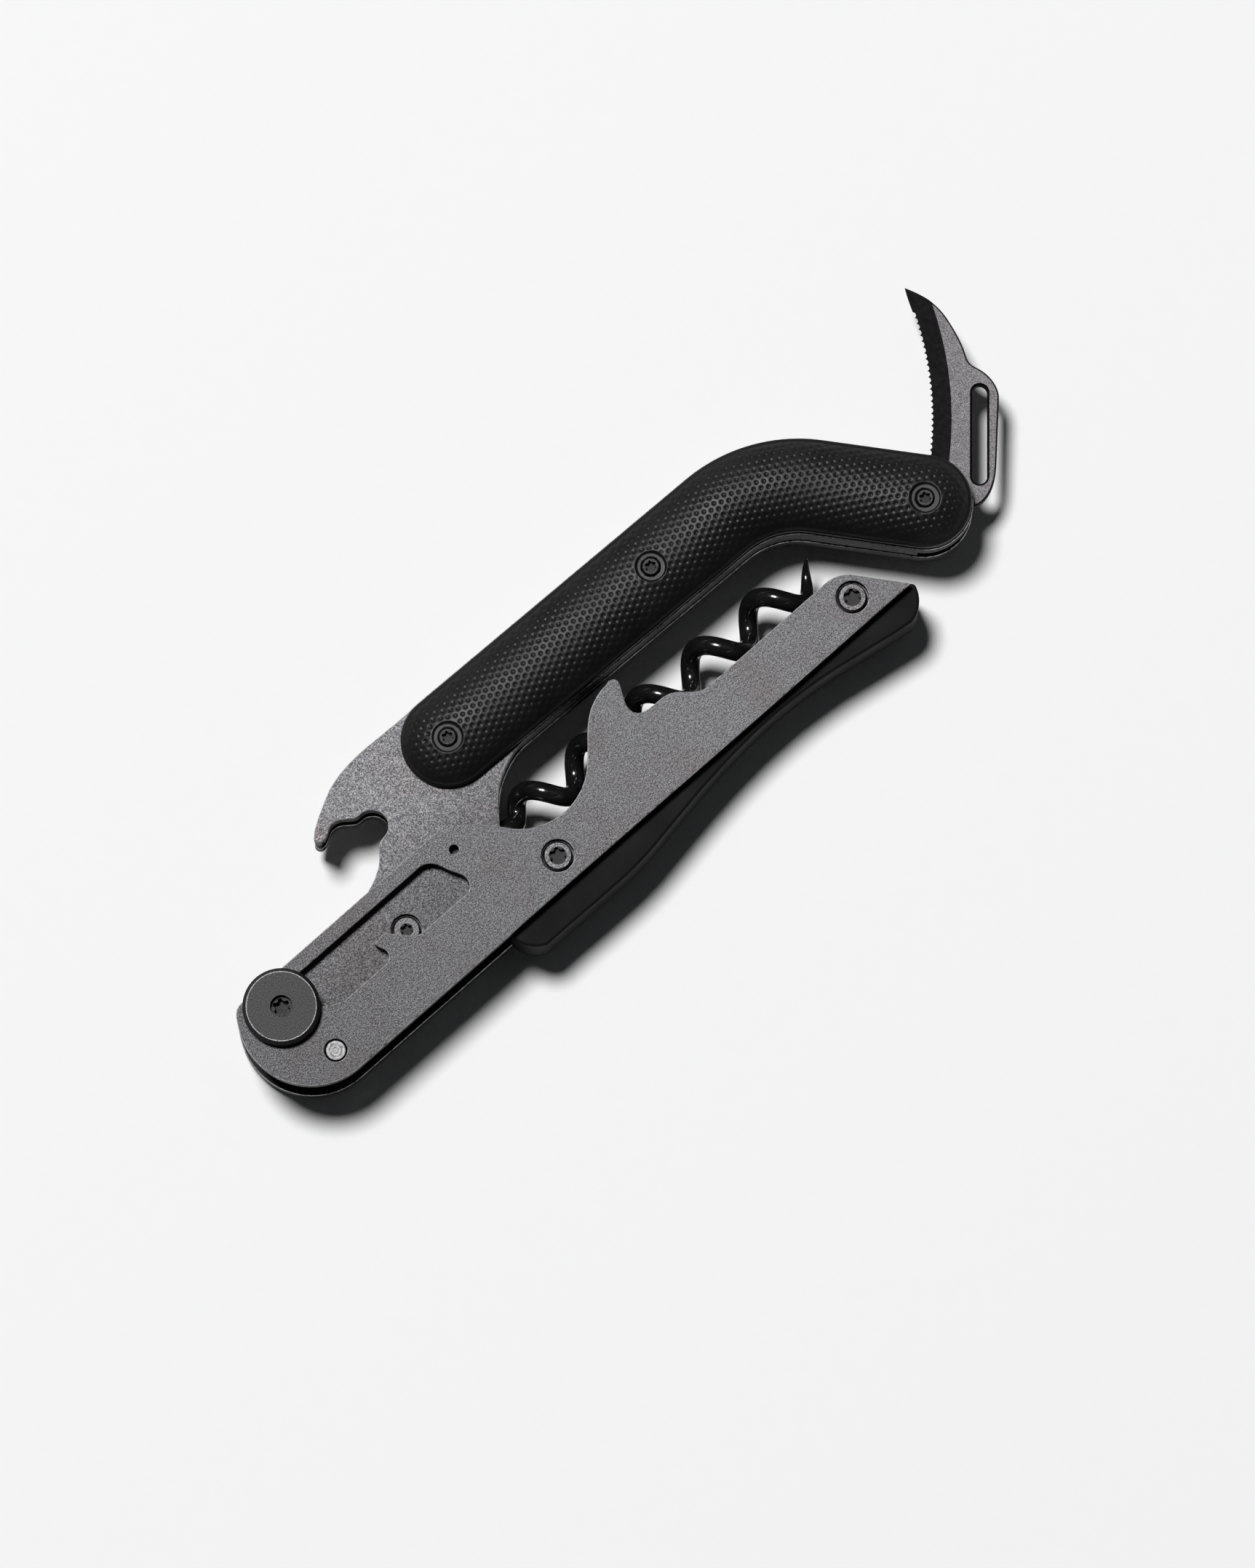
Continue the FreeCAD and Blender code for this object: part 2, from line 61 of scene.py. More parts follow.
# Sockets of a mix node in colour mode
MIX_FACTOR, MIX_A, MIX_B, MIX_RESULT = 0, 6, 7, 2

# Millimetres
FACE_SLACK = 0.06        # this far below a face the painted black starts: painted shade on walls and in recesses
BLADE_FLAT_Z = 0.985     # just under the blade's flats, from the middle plane
CAP_RIM_R = 4.87         # middle of the pivot disc's bright rim
CAP_RIM_HALF = 0.17      # times a noise of 0 to 1
CAP_FACE_R = 4.92        # outside it the chamfer is painted black, a painted reflection; inside the hole, painted shade
CAP_HOLE_R = 1.6


class Look:
    """Small helper for building one node material."""

    def __init__(self, name):
        self.material = bpy.data.materials.new(name)
        self.material.use_nodes = True
        self.tree = self.material.node_tree
        self.shader = self.tree.nodes["Principled BSDF"]
        self.place = self.add("ShaderNodeTexCoord").outputs["Object"]

    def add(self, kind, **inputs):
        node = self.tree.nodes.new(kind)
        for key, value in inputs.items():
            node.inputs[key.replace("_", " ")].default_value = value
        return node

    def link(self, source, target):
        self.tree.links.new(source, target)

    def noise(self, size, detail=4.0, rough=0.6):
        """Noise whose features are about this many millimetres across."""
        scale = 1.0 / (size * MM)
        node = self.add("ShaderNodeTexNoise", Scale=scale, Detail=detail, Roughness=rough)
        self.link(self.place, node.inputs["Vector"])
        return node.outputs["Fac"]

    def ramp(self, source, stops):
        """Colour ramp; a stop's colour is one grey or three values."""
        node = self.add("ShaderNodeValToRGB")
        elements = node.color_ramp.elements
        while len(elements) < len(stops):
            elements.new(0.5)
        for element, (position, colour) in zip(elements, stops):
            rgb = colour if isinstance(colour, tuple) else (colour,) * 3
            element.position = position
            element.color = (*rgb, 1.0)
        self.link(source, node.inputs["Fac"])
        return node.outputs["Color"]

    def feed(self, socket, value):
        """Give a socket a number, or link it to an output."""
        if isinstance(value, (int, float)):
            socket.default_value = value
        else:
            self.link(value, socket)

    def math(self, operation, a, b=None):
        node = self.add("ShaderNodeMath")
        node.operation = operation
        self.feed(node.inputs[0], a)
        if b is not None:
            self.feed(node.inputs[1], b)
        return node.outputs[0]

    def mix(self, factor, a, b, blend="MIX"):
        node = self.add("ShaderNodeMix")
        node.data_type = "RGBA"
        node.blend_type = blend
        self.feed(node.inputs[MIX_FACTOR], factor)
        self.link(a, node.inputs[MIX_A])
        self.link(b, node.inputs[MIX_B])
        return node.outputs[MIX_RESULT]

    def bump(self, source, depth, strength=1.0):
        node = self.add("ShaderNodeBump", Strength=strength, Distance=depth * MM)
        self.link(source, node.inputs["Height"])
        self.link(node.outputs["Normal"], self.shader.inputs["Normal"])

    def finish(self, colour, rough, metallic=0.0, coat=0.0):
        self.link(colour, self.shader.inputs["Base Color"])
        self.link(rough, self.shader.inputs["Roughness"])
        self.shader.inputs["Metallic"].default_value = metallic
        self.shader.inputs["Coat Weight"].default_value = coat
        self.shader.inputs["Coat Roughness"].default_value = 0.08
        return self.material

    def axis(self, name):
        node = self.add("ShaderNodeSeparateXYZ")
        self.link(self.place, node.inputs[0])
        return node.outputs[name]

    def vector_math(self, operation, source, value=None):
        node = self.add("ShaderNodeVectorMath")
        node.operation = operation
        self.link(source, node.inputs[0])
        if value is not None:
            node.inputs[1].default_value = value
        return node

    def distance_from(self, point):
        """Distance in the XY plane from an axis along Z."""
        offset = self.vector_math("SUBTRACT", self.place, point)
        flat = self.vector_math("MULTIPLY", offset.outputs[0], (1, 1, 0))
        return self.vector_math("LENGTH", flat.outputs[0]).outputs["Value"]

    def height(self):
        """Distance from the tool's middle plane."""
        return self.math("ABSOLUTE", self.math("SUBTRACT", self.axis("Z"), MIDDLE))


def blasted_steel(name, dark, light, face=None, shade=None, sockets=(), socket_r=0.0):
    """Blasted steel: fine grain over slow warm blotches.

    Whatever lies below the face, or inside a driver socket, is painted black: painted shade on the
    walls and in the recesses. Shade is an axis and the two (place, factor) points between which
    the
    whole finish lightens: a painted light fall-off. Lengths in millimetres.
    """
    look = Look(name)
    fine_grain = look.math("MULTIPLY", look.noise(0.17, 3.0, 0.75), 0.76)
    coarse_grain = look.math("MULTIPLY", look.noise(0.36, 3.0, 0.7), 0.24)
    grain = look.math("ADD", fine_grain, coarse_grain)
    blotch = look.noise(9.0, 4.0, 0.55)
    fine = look.ramp(grain, [(0.41, (dark, dark, dark * 1.04)),
                             (0.5, (light * 0.6, light * 0.6, light * 0.64)),
                             (0.59, (light, light, light * 1.05))])
    stained = look.ramp(grain, [(0.41, (dark * 0.9, dark * 0.8, dark * 0.78)),
                                (0.59, (light * 0.92, light * 0.81, light * 0.81))])
    colour = look.mix(look.ramp(blotch, [(0.42, 0.0), (0.66, 0.7)]), fine, stained)
    # Painted light fall-off: the whole finish lightens along this axis, the way the light falls on
    # it.
    if shade:
        axis, (first, low), (last, high) = shade
        past_first = look.math("SUBTRACT", look.axis(axis), first * MM)
        along = look.math("DIVIDE", past_first, (last - first) * MM)
        colour = look.mix(1.0, colour, look.ramp(along, [(0.0, low), (1.0, high)]), "MULTIPLY")
    # Black for the walls below the face and inside the sockets: painted shade.
    black = look.ramp(blotch, [(0.3, 0.006), (0.7, 0.014)])
    if face is not None:
        on_face = look.math("GREATER_THAN", look.height(), (face - FACE_SLACK) * MM)
        colour = look.mix(on_face, black, colour)
    for centre in sockets:
        outside = look.math("GREATER_THAN", look.distance_from(centre), socket_r * MM)
        colour = look.mix(outside, black, colour)
    look.bump(grain, 0.02, 0.6)
    return look.finish(colour, look.ramp(grain, [(0.4, 0.62), (0.6, 0.46)]), metallic=0.6)


def rubbed_edge_painted_highlight(name):
    """Broken edges of the plates, rubbed through to bright steel in places; the bright steel is
    also a painted highlight.
    """
    look = Look(name)
    rubbed = look.noise(0.7, 5.0, 0.7)
    # The bright stops are a painted highlight along the broken edges, over rubbed steel.
    colour = look.ramp(rubbed, [(0.36, 0.06), (0.46, 0.5), (0.7, 0.95)])
    look.bump(look.noise(0.2), 0.01, 0.4)
    return look.finish(colour, look.ramp(rubbed, [(0.4, 0.4), (0.8, 0.3)]), metallic=0.9)


def black_moulding(name, shade, rough_low, rough_high, sheen):
    """Black plastic, slowly varying between two roughnesses."""
    look = Look(name)
    fine = look.noise(0.12, 3.0, 0.65)
    slow = look.noise(6.0, 3.0, 0.5)
    colour = look.mix(slow, look.ramp(fine, [(0.3, shade * 0.7), (0.7, shade * 1.3)]),
                      look.ramp(fine, [(0.3, shade), (0.7, shade * 1.8)]))
    look.bump(fine, 0.012, 0.5)
    look.shader.inputs["Specular IOR Level"].default_value = sheen
    return look.finish(colour, look.ramp(slow, [(0.3, rough_low), (0.7, rough_high)]))


def worm_coating(name):
    """Slick black coating with slight waves and small scuffs."""
    look = Look(name)
    scuff = look.noise(0.35, 6.0, 0.75)
    slow = look.noise(3.0, 3.0, 0.5)
    colour = look.mix(look.ramp(scuff, [(0.66, 0.0), (0.8, 0.5)]),
                      look.ramp(slow, [(0.3, 0.004), (0.7, 0.009)]),
                      look.ramp(slow, [(0.3, 0.03), (0.7, 0.06)]))
    look.bump(slow, 0.03, 0.35)
    return look.finish(colour, look.ramp(scuff, [(0.4, 0.13), (0.8, 0.3)]), coat=0.5)


def blade_steel(name):
    """Blasted grey flats; everything below the flats' level keeps its black coating."""
    look = Look(name)
    flat = look.math("GREATER_THAN", look.height(), BLADE_FLAT_Z * MM)
    grain = look.noise(0.14, 3.0, 0.7)
    grey = look.ramp(grain, [(0.38, (0.03, 0.029, 0.031)),
                             (0.5, (0.07, 0.067, 0.07)),
                             (0.62, (0.14, 0.133, 0.138))])
    streak = look.noise(0.8, 6.0, 0.7)
    black = look.ramp(streak, [(0.4, 0.003), (0.7, 0.006), (0.85, 0.02)])
    look.bump(grain, 0.015, 0.5)
    coated_rough = look.ramp(streak, [(0.3, 0.75), (0.75, 0.6)])
    flat_rough = look.ramp(streak, [(0.3, 0.5), (0.75, 0.42)])
    rough = look.mix(flat, coated_rough, flat_rough)
    return look.finish(look.mix(flat, black, grey), rough, metallic=0.8)


def turned_steel(name, centre, dark, light, ring_pitch):
    """Turned metal: fine rings round the given centre."""
    look = Look(name)
    radius = look.distance_from(centre)
    phase = look.math("MULTIPLY", radius, 2 * math.pi / (ring_pitch * MM))
    rings = look.math("MULTIPLY", look.math("SINE", phase), 0.06)
    grain = look.noise(0.12, 3.0, 0.7)
    worn = look.noise(0.5, 3.0, 0.6)
    spots = look.math("MULTIPLY", look.math("ADD", grain, worn), 0.5)
    both = look.math("ADD", rings, spots)
    colour = look.ramp(both, [(0.38, dark), (0.62, light)])
    look.bump(both, 0.012, 0.6)
    return look.finish(colour, look.ramp(grain, [(0.3, 0.4), (0.7, 0.25)]), metallic=0.85)


def cap_steel(name):
    """Pivot disc: dark blasted face whose coating is rubbed bright round the rim."""
    look = Look(name)
    radius = look.distance_from(LEVER_PIVOT)
    grain = look.noise(0.16, 3.0, 0.7)
    face = look.ramp(grain, [(0.4, (0.009, 0.009, 0.0095)), (0.6, (0.022, 0.0215, 0.022))])
    bright = look.ramp(grain, [(0.35, 0.07), (0.7, 0.3)])
    black = look.ramp(grain, [(0.3, 0.008), (0.7, 0.02)])
    off_rim = look.math("ABSOLUTE", look.math("SUBTRACT", radius, CAP_RIM_R * MM))
    patchy = look.math("MULTIPLY", look.noise(1.2, 3.0), CAP_RIM_HALF * MM)
    on_rim = look.math("LESS_THAN", off_rim, patchy)
    # Painted black outside the face, a painted reflection on the chamfer, and inside the hole,
    # painted shade.
    outside = look.math("GREATER_THAN", radius, CAP_FACE_R * MM)
    inside = look.math("LESS_THAN", radius, CAP_HOLE_R * MM)
    face_and_painted_black = look.mix(look.math("MAXIMUM", outside, inside), face, black)
    look.bump(grain, 0.02, 0.6)
    rough = look.ramp(grain, [(0.3, 0.58), (0.7, 0.42)])
    return look.finish(look.mix(on_rim, face_and_painted_black, bright), rough, metallic=0.55)


def brass(name):
    look = Look(name)
    grain = look.noise(0.3, 4.0, 0.6)
    colour = look.ramp(grain, [(0.3, (0.42, 0.28, 0.1)), (0.7, (0.68, 0.5, 0.22))])
    look.bump(grain, 0.01, 0.4)
    return look.finish(colour, look.ramp(grain, [(0.3, 0.42), (0.7, 0.28)]), metallic=1.0)


def studio_paper(name):
    look = Look(name)
    fibre = look.noise(3.0, 4.0, 0.6)
    colour = look.ramp(fibre, [(0.3, 0.87), (0.7, 0.876)])
    return look.finish(colour, look.ramp(fibre, [(0.3, 0.88), (0.7, 0.9)]))


def drawn(x, y):
    """A point in the frame, given in millimetres from the lever's pivot."""
    return LEVER_PIVOT + Vector((x, y, 0)) * MM


LEVER_SCREWS_AT = [drawn(42.8, -9.4), drawn(97.65, -9.4)]
GRIP_SCREWS_AT = [drawn(42.3, 13.1), drawn(79.392, 12.323), BLADE_PIVOT]
# Lever plates: the finish darkens towards the pivot disc end along X, a painted light fall-off.
LEVER_PLATE = blasted_steel("lever plate steel", dark=0.03, light=0.16, face=6.1,
                            shade=("X", (-70, 0.6), (10, 0.95)))
# Chassis plates: the lever plates' steel painted lighter, and lighter still towards +Y where more
# light falls: painted light.
CHASSIS_PLATE = blasted_steel("chassis plate steel", dark=0.05, light=0.22, face=4.0,
                              shade=("Y", (-3, 0.42), (10, 0.85)))
EDGE = rubbed_edge_painted_highlight("rubbed edge painted highlight")
CORE = blasted_steel("core steel", dark=0.015, light=0.06)
GRIP = black_moulding("grip moulding", shade=0.005, rough_low=0.4, rough_high=0.52, sheen=0.32)
SPINE = black_moulding("spine moulding", shade=0.005, rough_low=0.5, rough_high=0.65, sheen=0.06)
WORM = worm_coating("worm coating")
BLADE = blade_steel("blade steel")
CAP = cap_steel("pivot disc steel")
BRASS = brass("washer brass")
# Inside each driver socket the screws are painted black: painted shade.
SCREWS = {
    "lever_screws": blasted_steel("lever screw steel", dark=0.04, light=0.18, face=6.0,
                                  sockets=LEVER_SCREWS_AT, socket_r=1.26),
    "chassis_screw": blasted_steel("chassis screw steel", dark=0.04, light=0.16, face=3.9,
                                   sockets=[drawn(20.4, -3.0)], socket_r=0.92),
    "grip_screws": blasted_steel("grip screw steel", dark=0.008, light=0.035, face=7.55,
                                 sockets=GRIP_SCREWS_AT, socket_r=0.8),
    # The pivot screw sits down in the pivot disc's hole and is painted near black all over:
    # painted shade.
    "pivot_screw": blasted_steel("pivot screw steel", dark=0.006, light=0.02, face=7.1),
}
SLEEVE = turned_steel("sleeve turned steel", LEVER_PIVOT, dark=0.25, light=0.6, ring_pitch=0.25)
PAPER = studio_paper("studio paper")


# ---- carried-over nodes ---------------------------------------------------------------------

JOIN = 0.002             # millimetres
FLAT_ANGLE = 1.5         # degrees
SHARP_ANGLE = 50


def dress(node, *materials):
    slots = NODES[node].data.materials
    slots.clear()
    for material in materials:
        slots.append(material)


def soften(node, width, segments=2, edge_slot=-1):
    """Broken edges, by modifiers that leave the CAD mesh alone; the width is in millimetres.

    The CAD mesh has faces that share no corners and flats cut into triangles. Both would spoil
    the bevel, so the faces are joined and the flats made whole first.
    """
    joined = NODES[node].modifiers.new("joined faces", "WELD")
    joined.merge_threshold = JOIN * MM
    whole = NODES[node].modifiers.new("whole flats", "DECIMATE")
    whole.decimate_type = "DISSOLVE"
    whole.angle_limit = math.radians(FLAT_ANGLE)
    bevel = NODES[node].modifiers.new("broken edges", "BEVEL")
    bevel.width = width * MM
    bevel.segments = segments
    bevel.limit_method = "ANGLE"
    bevel.angle_limit = math.radians(SHARP_ANGLE)
    bevel.use_clamp_overlap = False
    bevel.loop_slide = False
    bevel.material = edge_slot


def node_centre(node):
    low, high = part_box(node)
    return (low + high) / 2


SIDES = ("front", "rear")


def dress_frame():
    for side in SIDES:
        for node, material in (("lever_plate_", LEVER_PLATE), ("chassis_plate_", CHASSIS_PLATE)):
            dress(node + side, material, EDGE)
            soften(node + side, width=0.12, edge_slot=1)
        dress("pivot_cap_" + side, CAP)
        dress("blade_washer_" + side, BRASS)
        for node, material in SCREWS.items():
            dress(node + "_" + side, material)
    dress("handle_core", CORE)
    dress("neck_spacer", CORE)
    dress("lever_spine", SPINE)
    soften("lever_spine", width=0.4, segments=3)
    dowel = turned_steel("dowel turned steel", node_centre("lever_dowel"),
                         dark=0.03, light=0.12, ring_pitch=0.5)
    dress("lever_dowel", dowel)
    soften("lever_dowel", width=0.1)
    for node in ("grip_barrels", "blade_pivot", "lever_barrels", "pivot_barrel"):
        dress(node, SLEEVE)
    # The worm pin is dark steel so that the worm eye's hole looks dark: painted shade.
    dress("worm_pin", CORE)


# ---- blade ----------------------------------------------------------------------------------

# Millimetres; the two ends of the cutting edge are from the lever's pivot
EDGE_FIRST = (119.9, -0.8)
EDGE_LAST = (131.9, 16.0)
EDGE_SAG = 1.15
GRIND_WIDTH = 2.9
BEHIND_GRIND = GRIND_WIDTH + 0.15
BLADE_HALF = 1.0
BLADE_JOIN = 0.001
BLADE_RIM = 0.24
RIM_ANGLE = 80           # degrees


def make_blade():
    """Copy of the blade whose back and loop have rounded rims; the cutting edge stays sharp."""
    first, last = drawn(*EDGE_FIRST), drawn(*EDGE_LAST)
    chord = last - first
    sag = EDGE_SAG * MM
    radius = (chord.length ** 2 / 4 + sag ** 2) / (2 * sag)
    across = Vector((chord.y, -chord.x, 0)).normalized()
    centre = (first + last) / 2 - across * (radius - sag)
    mesh = bmesh.new()
    mesh.from_mesh(NODES["blade"].data)
    place = NODES["blade"].matrix_world
    bmesh.ops.transform(mesh, matrix=place, verts=mesh.verts)
    bmesh.ops.remove_doubles(mesh, verts=mesh.verts, dist=BLADE_JOIN * MM)
    weights = mesh.edges.layers.float.new("bevel_weight_edge")
    for edge in mesh.edges:
        middle = (edge.verts[0].co + edge.verts[1].co) / 2
        level = abs(edge.verts[0].co.z - edge.verts[1].co.z) < 0.01 * MM
        on_face = abs(abs(middle.z - MIDDLE) - BLADE_HALF * MM) < 0.02 * MM
        flat = Vector((middle.x, middle.y, centre.z))
        behind = (flat - centre).length > radius + BEHIND_GRIND * MM
        if level and on_face and behind and len(edge.link_faces) == 2:
            edge[weights] = float(edge.calc_face_angle(0.0) > math.radians(RIM_ANGLE))
    piece = add_piece("blade_ground", mesh, "blade", BLADE, "blade_steel", "blade")
    bevel = piece.modifiers.new("rounded rims", "BEVEL")
    bevel.limit_method = "WEIGHT"
    bevel.width = BLADE_RIM * MM
    bevel.segments = 3
    bevel.use_clamp_overlap = False
    for face in piece.data.polygons:
        face.use_smooth = False


# ---- grips ----------------------------------------------------------------------------------

HANDLE_TILT = -1.2
BEND_TURN = -48.5
BEND_R = 17.5 * MM
END_RUN = 15.3 * MM
STRAIGHT = math.hypot(91.55 - 42.3, 12.02 - 13.1) * MM
GRIP_HALF = 6.6 * MM
GRIP_BASE = 4.0 * MM
GRIP_RIM = 0.9 * MM
GRIP_TOP = 8.0 * MM
RIM_ROUND = 0.45 * MM
DIMPLE_PITCH = 1.06 * MM
DIMPLE_R = 0.37 * MM
DIMPLE_DEPTH = 0.17 * MM
SCREW_AT = (0.0, 37.11 * MM)      # along the straight run; the third sits on the blade pivot
POCKET_R = 2.2 * MM
POCKET_Z = 7.35 * MM
POCKET_WALL = 0.2 * MM
PLAIN_RING = 0.35 * MM            # the dimples fade in over this, outside a pocket
WELL_R = 1.26 * MM
WELL_Z = 6.5 * MM
WELL_WALL = 0.08 * MM
ROW_STEP = 0.135 * MM
SECTION_STEPS = 46
RIM_STEPS = 4
GRIP_JOIN = 0.02 * MM
DIMPLE_SHAPE = 1.2                # above 1 the dimple's wall is less steep at its rim
FADE_DEPTH = 0.75                 # towards the grip's rim the dimples lose this share
FADE_FROM = 0.55                  # starting here, as a share of the half width
FADE_OVER = 0.4


def heading(degrees):
    return Vector((math.cos(math.radians(degrees)), math.sin(math.radians(degrees)), 0))


def left_of(degrees):
    return heading(degrees + 90)


END_HEADING = HANDLE_TILT + BEND_TURN
FLAT_PIVOT = Vector((BLADE_PIVOT.x, BLADE_PIVOT.y, 0))
BEND_END = FLAT_PIVOT - heading(END_HEADING) * END_RUN
BEND_CENTRE = BEND_END - left_of(END_HEADING) * BEND_R
BEND_START = BEND_CENTRE + left_of(HANDLE_TILT) * BEND_R
HANDLE_START = BEND_START - heading(HANDLE_TILT) * STRAIGHT
GRIP_SCREWS = [HANDLE_START + heading(HANDLE_TILT) * along for along in SCREW_AT] + [FLAT_PIVOT]


def grip_rows():
    """Points on the centre line with the direction towards the rim, once round the grip."""
    rows = []

    def run(start, end, degrees):
        steps = max(2, round((end - start).length / ROW_STEP))
        rows.extend((start.lerp(end, k / steps), degrees) for k in range(steps))

    def turn(first, last, flip):
        """Round the bend: the centre line itself is an arc, and a flip of 180 takes the inside."""
        steps = round(abs(math.radians(last - first)) * (BEND_R + GRIP_HALF) / ROW_STEP)
        for k in range(steps):
            degrees = first + (last - first) * k / steps
            rows.append((BEND_CENTRE + heading(degrees) * BEND_R, degrees + flip))

    def end(centre, first, last):
        steps = round(abs(math.radians(last - first)) * GRIP_HALF / ROW_STEP)
        rows.extend((centre, first + (last - first) * k / steps) for k in range(steps))

    upper, lower = HANDLE_TILT + 90, END_HEADING + 90
    run(HANDLE_START, BEND_START, upper)
    turn(upper, lower, 0)
    run(BEND_END, FLAT_PIVOT, lower)
    end(FLAT_PIVOT, lower, lower - 180)
    run(FLAT_PIVOT, BEND_END, lower - 180)
    turn(lower, upper, 180)
    run(BEND_START, HANDLE_START, upper - 180)
    end(HANDLE_START, upper - 180, upper - 360)
    return rows


def dimple(point):
    """Depth of the nearest dimple of a triangular lattice laid along the handle."""
    flat = Vector((point.x, point.y, 0)) - HANDLE_START
    along = flat.dot(heading(HANDLE_TILT))
    across = flat.dot(left_of(HANDLE_TILT))
    column_step = DIMPLE_PITCH * math.sqrt(3) / 2
    nearest = math.inf
    column = math.floor(along / column_step)
    for k in (column, column + 1):
        shift = 0.5 * (k % 2)
        row = round(across / DIMPLE_PITCH - shift) + shift
        apart = math.hypot(along - k * column_step, across - row * DIMPLE_PITCH)
        nearest = min(nearest, apart)
    if nearest > DIMPLE_R:
        return 0.0
    return DIMPLE_DEPTH * math.cos(math.pi / 2 * nearest / DIMPLE_R) ** DIMPLE_SHAPE


def ease(t):
    """From 0 to 1 with level ends."""
    t = min(max(t, 0.0), 1.0)
    return t * t * (3 - 2 * t)


def grip_height(point, out):
    """Height over the middle plane at a distance out from the centre line."""
    sag = GRIP_TOP - GRIP_BASE - GRIP_RIM
    radius = (GRIP_HALF ** 2 + sag ** 2) / (2 * sag)
    height = GRIP_TOP - radius + math.sqrt(radius ** 2 - out ** 2)
    from_screw = min((point - screw).length for screw in GRIP_SCREWS)
    plain_ring = ease((from_screw - POCKET_R) / PLAIN_RING)
    fade = 1.0 - FADE_DEPTH * ease((out / GRIP_HALF - FADE_FROM) / FADE_OVER)
    height -= dimple(point) * fade * plain_ring
    pocket = 1.0 - ease((from_screw - POCKET_R + POCKET_WALL) / POCKET_WALL)
    height += (min(height, POCKET_Z) - height) * pocket
    well = 1.0 - ease((from_screw - WELL_R) / WELL_WALL)
    return height + (WELL_Z - height) * well


def make_grip(side):
    up = 1 if side == "front" else -1
    mesh = bmesh.new()
    limit = GRIP_HALF - RIM_ROUND
    distances = [limit * k / SECTION_STEPS for k in range(SECTION_STEPS + 1)]
    loops = []
    for centre, degrees in grip_rows():
        out = heading(degrees)
        points = []
        for distance in distances:
            place = centre + out * distance
            points.append((place, grip_height(place, distance)))
        edge_height = points[-1][1]
        for k in range(1, RIM_STEPS + 1):
            angle = math.pi / 2 * k / RIM_STEPS
            points.append((centre + out * (limit + RIM_ROUND * math.sin(angle)),
                           edge_height - RIM_ROUND * (1 - math.cos(angle))))
        points.append((centre + out * GRIP_HALF, GRIP_BASE))
        points.append((centre, GRIP_BASE))
        loops.append([mesh.verts.new((p.x, p.y, MIDDLE + up * height)) for p, height in points])
    for k, loop in enumerate(loops):
        following = loops[(k + 1) % len(loops)]
        for j in range(len(loop) - 1):
            mesh.faces.new([loop[j], loop[j + 1], following[j + 1], following[j]])
    bmesh.ops.remove_doubles(mesh, verts=mesh.verts, dist=GRIP_JOIN)
    bmesh.ops.recalc_face_normals(mesh, faces=mesh.faces)
    add_piece("grip_scale_" + side, mesh, "handle", GRIP, "grip_black", "grip_" + side)


def add_piece(name, mesh, body, material, slot, *replaced):
    """A smooth visible piece that rides on a body and stands in for the replaced nodes."""
    data = bpy.data.meshes.new(name)
    mesh.to_mesh(data)
    mesh.free()
    for face in data.polygons:
        face.use_smooth = True
    piece = bpy.data.objects.new(name, data)
    bpy.context.scene.collection.objects.link(piece)
    data.materials.append(material)
    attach(piece, body)
    if replaced:
        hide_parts(*replaced)
    return piece


# ---- worm -----------------------------------------------------------------------------------

WORM_TILT = -1.5
WORM_OFFSET = -1.56 * MM
WORM_PITCH = 10.6 * MM
WORM_MEAN_R = 2.37 * MM
WIRE_R = 1.36 * MM
POINT_R = 0.2 * MM
WORM_CREST_X = 33.8 * MM
WORM_LENGTH = 64.9 * MM
WORM_SHANK = 7.5 * MM
WORM_OPENING = 4.5 * MM
WORM_TAPER = 6.5 * MM
EYE_R = 2.7 * MM
EYE_HALF = 1.35 * MM
EYE_HOLE_R = 1.25 * MM
WIRE_START = 1.9 * MM
TAPER_SHAPE = 0.9                 # below 1 the wire stays thick for longer
TIP_LENGTH = 0.15 * MM            # past the last ring
WORM_RINGS = 900
WIRE_SIDES = 40
EYE_SIDES = 96
EYE_ROUND = 0.25 * MM
EYE_ROUND_MIDDLE = 0.07 * MM      # how far inside the corner the rounding passes


def worm_centre(x):
    """Middle of the wire, in the worm's own axes: the coil opens out of a straight shank."""
    radius = WORM_MEAN_R * ease((x - WORM_SHANK) / WORM_OPENING)
    beside = WORM_OFFSET * ease(x / WORM_SHANK)
    turn = 2 * math.pi * (x - WORM_CREST_X) / WORM_PITCH
    return Vector((x, beside + radius * math.cos(turn), radius * math.sin(turn)))


def wire_radius(x):
    left = min((WORM_LENGTH - x) / WORM_TAPER, 1.0)
    return POINT_R + (WIRE_R - POINT_R) * math.sin(math.pi / 2 * left) ** TAPER_SHAPE


def in_place(point):
    """From the worm's own axes to the frame."""
    flat = WORM_PIVOT + heading(WORM_TILT) * point.x + left_of(WORM_TILT) * point.y
    return flat + Vector((0, 0, point.z))


def make_worm():
    step = 0.01 * MM
    turns = [2 * math.pi * j / WIRE_SIDES for j in range(WIRE_SIDES)]
    mesh = bmesh.new()
    loops = []
    for k in range(WORM_RINGS + 1):
        x = WIRE_START + (WORM_LENGTH - WIRE_START) * k / WORM_RINGS
        centre = worm_centre(x)
        ahead = (worm_centre(x + step) - worm_centre(x - step)).normalized()
        across = Vector((0, 0, 1)).cross(ahead).normalized()
        over = ahead.cross(across)
        radius = wire_radius(min(x, WORM_LENGTH))      # rounding can carry x past the end
        spokes = [(across * math.cos(a) + over * math.sin(a)) * radius for a in turns]
        loops.append([mesh.verts.new(in_place(centre + spoke)) for spoke in spokes])
    for first, second in zip(loops, loops[1:]):
        for j in range(WIRE_SIDES):
            m = (j + 1) % WIRE_SIDES
            mesh.faces.new([first[j], first[m], second[m], second[j]])
    mesh.faces.new(loops[0])
    tip = mesh.verts.new(in_place(worm_centre(WORM_LENGTH + TIP_LENGTH)))
    for j in range(WIRE_SIDES):
        mesh.faces.new([loops[-1][j], loops[-1][(j + 1) % WIRE_SIDES], tip])
    bmesh.ops.recalc_face_normals(mesh, faces=mesh.faces)
    add_piece("worm_coil", mesh, "worm", WORM, "worm_black", "worm")


